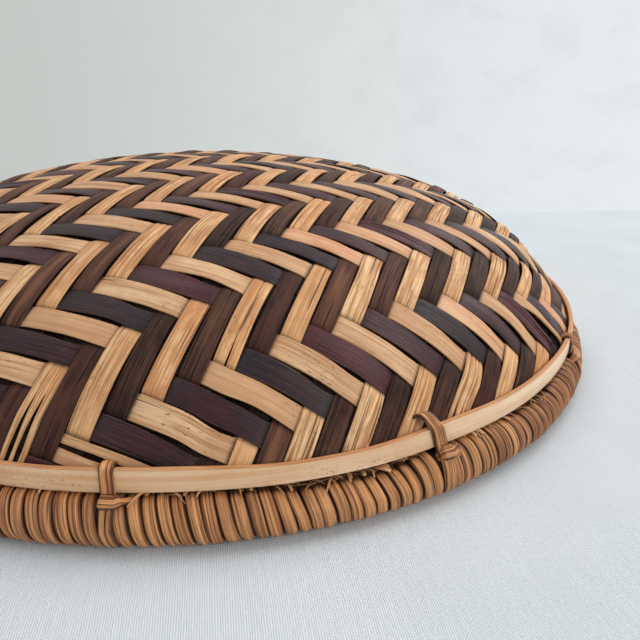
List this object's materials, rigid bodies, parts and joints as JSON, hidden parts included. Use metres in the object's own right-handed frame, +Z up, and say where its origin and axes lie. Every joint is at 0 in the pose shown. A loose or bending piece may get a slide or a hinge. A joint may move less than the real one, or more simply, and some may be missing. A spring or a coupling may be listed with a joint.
{
  "type": "winnowing basket",
  "caption": "Shallow round winnowing basket lying rim down: a dome of twill-woven strips between two hoops, tied to a rim lashed with cane.",
  "frame": {"origin": "centre of the circle on which the lashed rim stands", "axes": "+Z up, out through the crown of the dome; the basket lies upside down, so its bowl opens to -Z; -Y is the side nearest the viewer in the picture"},
  "size_m": [0.5, 0.5, 0.1151],
  "materials": {
    "woven_strips": "split strips, light tan and smoke-dark brown by turns, dry and slightly glossy on the dark ones",
    "golden_cane": "split cane, golden brown, handled to a low sheen",
    "pale_bamboo": "split bamboo, pale cream, smooth",
    "bent_rod": "debarked rod, dry"
  },
  "bodies": {
    "root": {"woven_dome": "woven_strips", "outer_hoop": "pale_bamboo", "inner_hoop": "pale_bamboo", "outer_rim_hoop": "bent_rod", "inner_rim_hoop": "bent_rod", "rim_lashing_01": "golden_cane", "rim_lashing_02": "golden_cane", "rim_lashing_03": "golden_cane", "rim_lashing_04": "golden_cane", "rim_lashing_05": "golden_cane", "rim_lashing_06": "golden_cane", "rim_lashing_07": "golden_cane", "rim_lashing_08": "golden_cane", "rim_lashing_09": "golden_cane", "rim_lashing_10": "golden_cane", "rim_lashing_11": "golden_cane", "tie_01": "golden_cane", "tie_02": "golden_cane", "tie_03": "golden_cane", "tie_04": "golden_cane", "tie_05": "golden_cane", "tie_06": "golden_cane", "tie_07": "golden_cane", "tie_08": "golden_cane", "tie_09": "golden_cane", "tie_10": "golden_cane", "tie_11": "golden_cane"}
  },
  "joints": []
}
